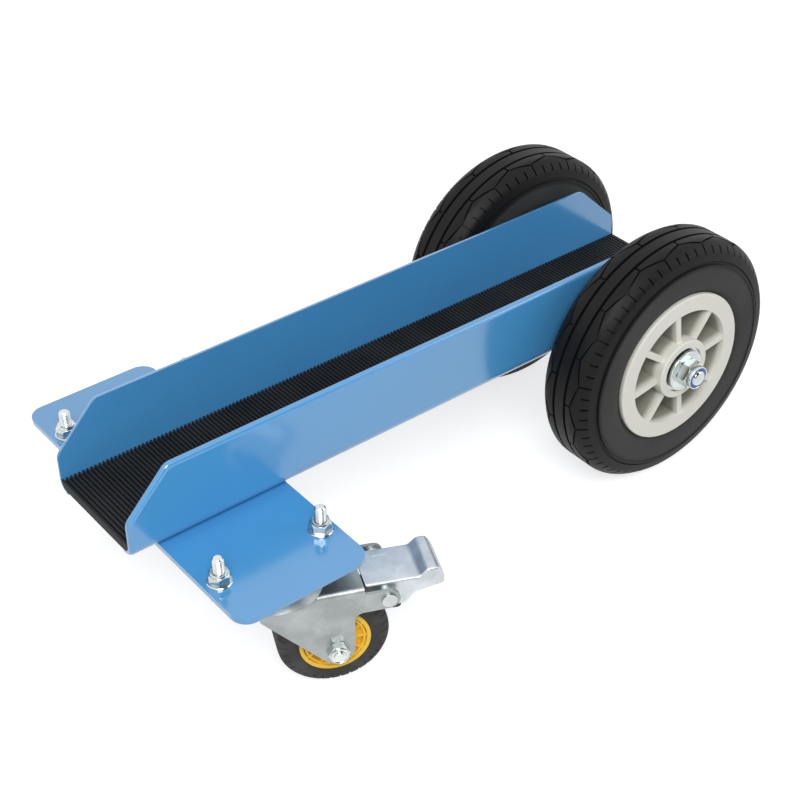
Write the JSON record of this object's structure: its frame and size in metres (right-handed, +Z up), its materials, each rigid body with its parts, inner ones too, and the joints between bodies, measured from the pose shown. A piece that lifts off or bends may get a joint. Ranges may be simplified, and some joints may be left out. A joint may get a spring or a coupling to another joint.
{
  "type": "door dolly",
  "caption": "Low dolly with a rubber-lined channel that carries a door or panel on edge, large fixed wheels at one end and braked swivel casters at the other.",
  "frame": {"origin": "on the ground, at the middle of the length and the width", "axes": "+X from the casters to the large wheels, along the channel; +Z up; the right side is -Y"},
  "size_m": [0.534, 0.3096, 0.198],
  "materials": {
    "blue_paint": "glossy powder coat",
    "mat_rubber": "fine cross ribs, matt",
    "tyre_rubber": "satin black rubber",
    "caster_rubber": "matt dark grey rubber",
    "cream_plastic": "moulded, slightly satin",
    "yellow_plastic": "moulded, glossy",
    "zinc": "bright zinc plate",
    "bearing_steel": "ground steel",
    "blue_nylon": "moulded nylon",
    "black_plastic": "moulded, matt"
  },
  "bodies": {
    "root": {"channel": "blue_paint", "rubber_mat": "mat_rubber", "cross_plate": "blue_paint", "axle_tube": "blue_paint", "wheel_axle": "zinc", "axle_washers": "zinc", "axle_lock_nuts": "zinc", "axle_nut_inserts": "blue_nylon", "caster_bolts": "zinc", "caster_bolt_washers": "zinc", "caster_bolt_nuts": "zinc", "right_caster_plate": "zinc", "right_kingpin": "zinc", "right_kingpin_washer": "zinc", "right_kingpin_nut": "zinc", "left_caster_plate": "zinc", "left_kingpin": "zinc", "left_kingpin_washer": "zinc", "left_kingpin_nut": "zinc"},
    "right_wheel": {"right_wheel_tyre": "tyre_rubber", "right_wheel_hub": "cream_plastic", "right_wheel_bearings": "bearing_steel", "right_wheel_spacer": "bearing_steel"},
    "right_swivel": {"right_fork": "zinc", "right_swivel_balls": "bearing_steel", "right_caster_axle_bolt": "zinc", "right_caster_axle_nut": "zinc", "right_caster_axle_spacers": "zinc", "right_pedal_pin": "zinc"},
    "right_caster_wheel": {"right_caster_tyre": "caster_rubber", "right_caster_hub": "yellow_plastic", "right_caster_bearings": "bearing_steel", "right_caster_wheel_spacer": "bearing_steel"},
    "right_pedal": {"right_brake_pedal": "zinc", "right_brake_shoe": "black_plastic"},
    "left_wheel": {"left_wheel_tyre": "tyre_rubber", "left_wheel_hub": "cream_plastic", "left_wheel_bearings": "bearing_steel", "left_wheel_spacer": "bearing_steel"},
    "left_swivel": {"left_fork": "zinc", "left_swivel_balls": "bearing_steel", "left_caster_axle_bolt": "zinc", "left_caster_axle_nut": "zinc", "left_caster_axle_spacers": "zinc", "left_pedal_pin": "zinc"},
    "left_caster_wheel": {"left_caster_tyre": "caster_rubber", "left_caster_hub": "yellow_plastic", "left_caster_bearings": "bearing_steel", "left_caster_wheel_spacer": "bearing_steel"},
    "left_pedal": {"left_brake_pedal": "zinc", "left_brake_shoe": "black_plastic"}
  },
  "joints": [
    {"name": "right_wheel_spin", "type": "hinge", "parent": "root", "child": "right_wheel", "pos_m": [0.168, -0.0805, 0.099], "axis": [0, 1, 0], "continuous": true},
    {"name": "right_caster_swivel", "type": "hinge", "parent": "root", "child": "right_swivel", "pos_m": [-0.195, -0.096, 0.09], "axis": [0, 0, 1], "continuous": true},
    {"name": "right_caster_roll", "type": "hinge", "parent": "right_swivel", "child": "right_caster_wheel", "pos_m": [-0.16196, -0.1103, 0.038], "axis": [0.3971, 0.9178, 0], "continuous": true},
    {"name": "right_pedal_press", "type": "hinge", "parent": "right_swivel", "child": "right_pedal", "pos_m": [-0.12984, -0.1242, 0.074], "axis": [0.3971, 0.9178, 0], "range_deg": [0, 20]},
    {"name": "left_wheel_spin", "type": "hinge", "parent": "root", "child": "left_wheel", "pos_m": [0.168, 0.0805, 0.099], "axis": [0, 1, 0], "continuous": true},
    {"name": "left_caster_swivel", "type": "hinge", "parent": "root", "child": "left_swivel", "pos_m": [-0.195, 0.096, 0.09], "axis": [0, 0, 1], "continuous": true},
    {"name": "left_caster_roll", "type": "hinge", "parent": "left_swivel", "child": "left_caster_wheel", "pos_m": [-0.16196, 0.1103, 0.038], "axis": [-0.3971, 0.9178, 0], "continuous": true},
    {"name": "left_pedal_press", "type": "hinge", "parent": "left_swivel", "child": "left_pedal", "pos_m": [-0.12984, 0.1242, 0.074], "axis": [-0.3971, 0.9178, 0], "range_deg": [0, 20]}
  ]
}
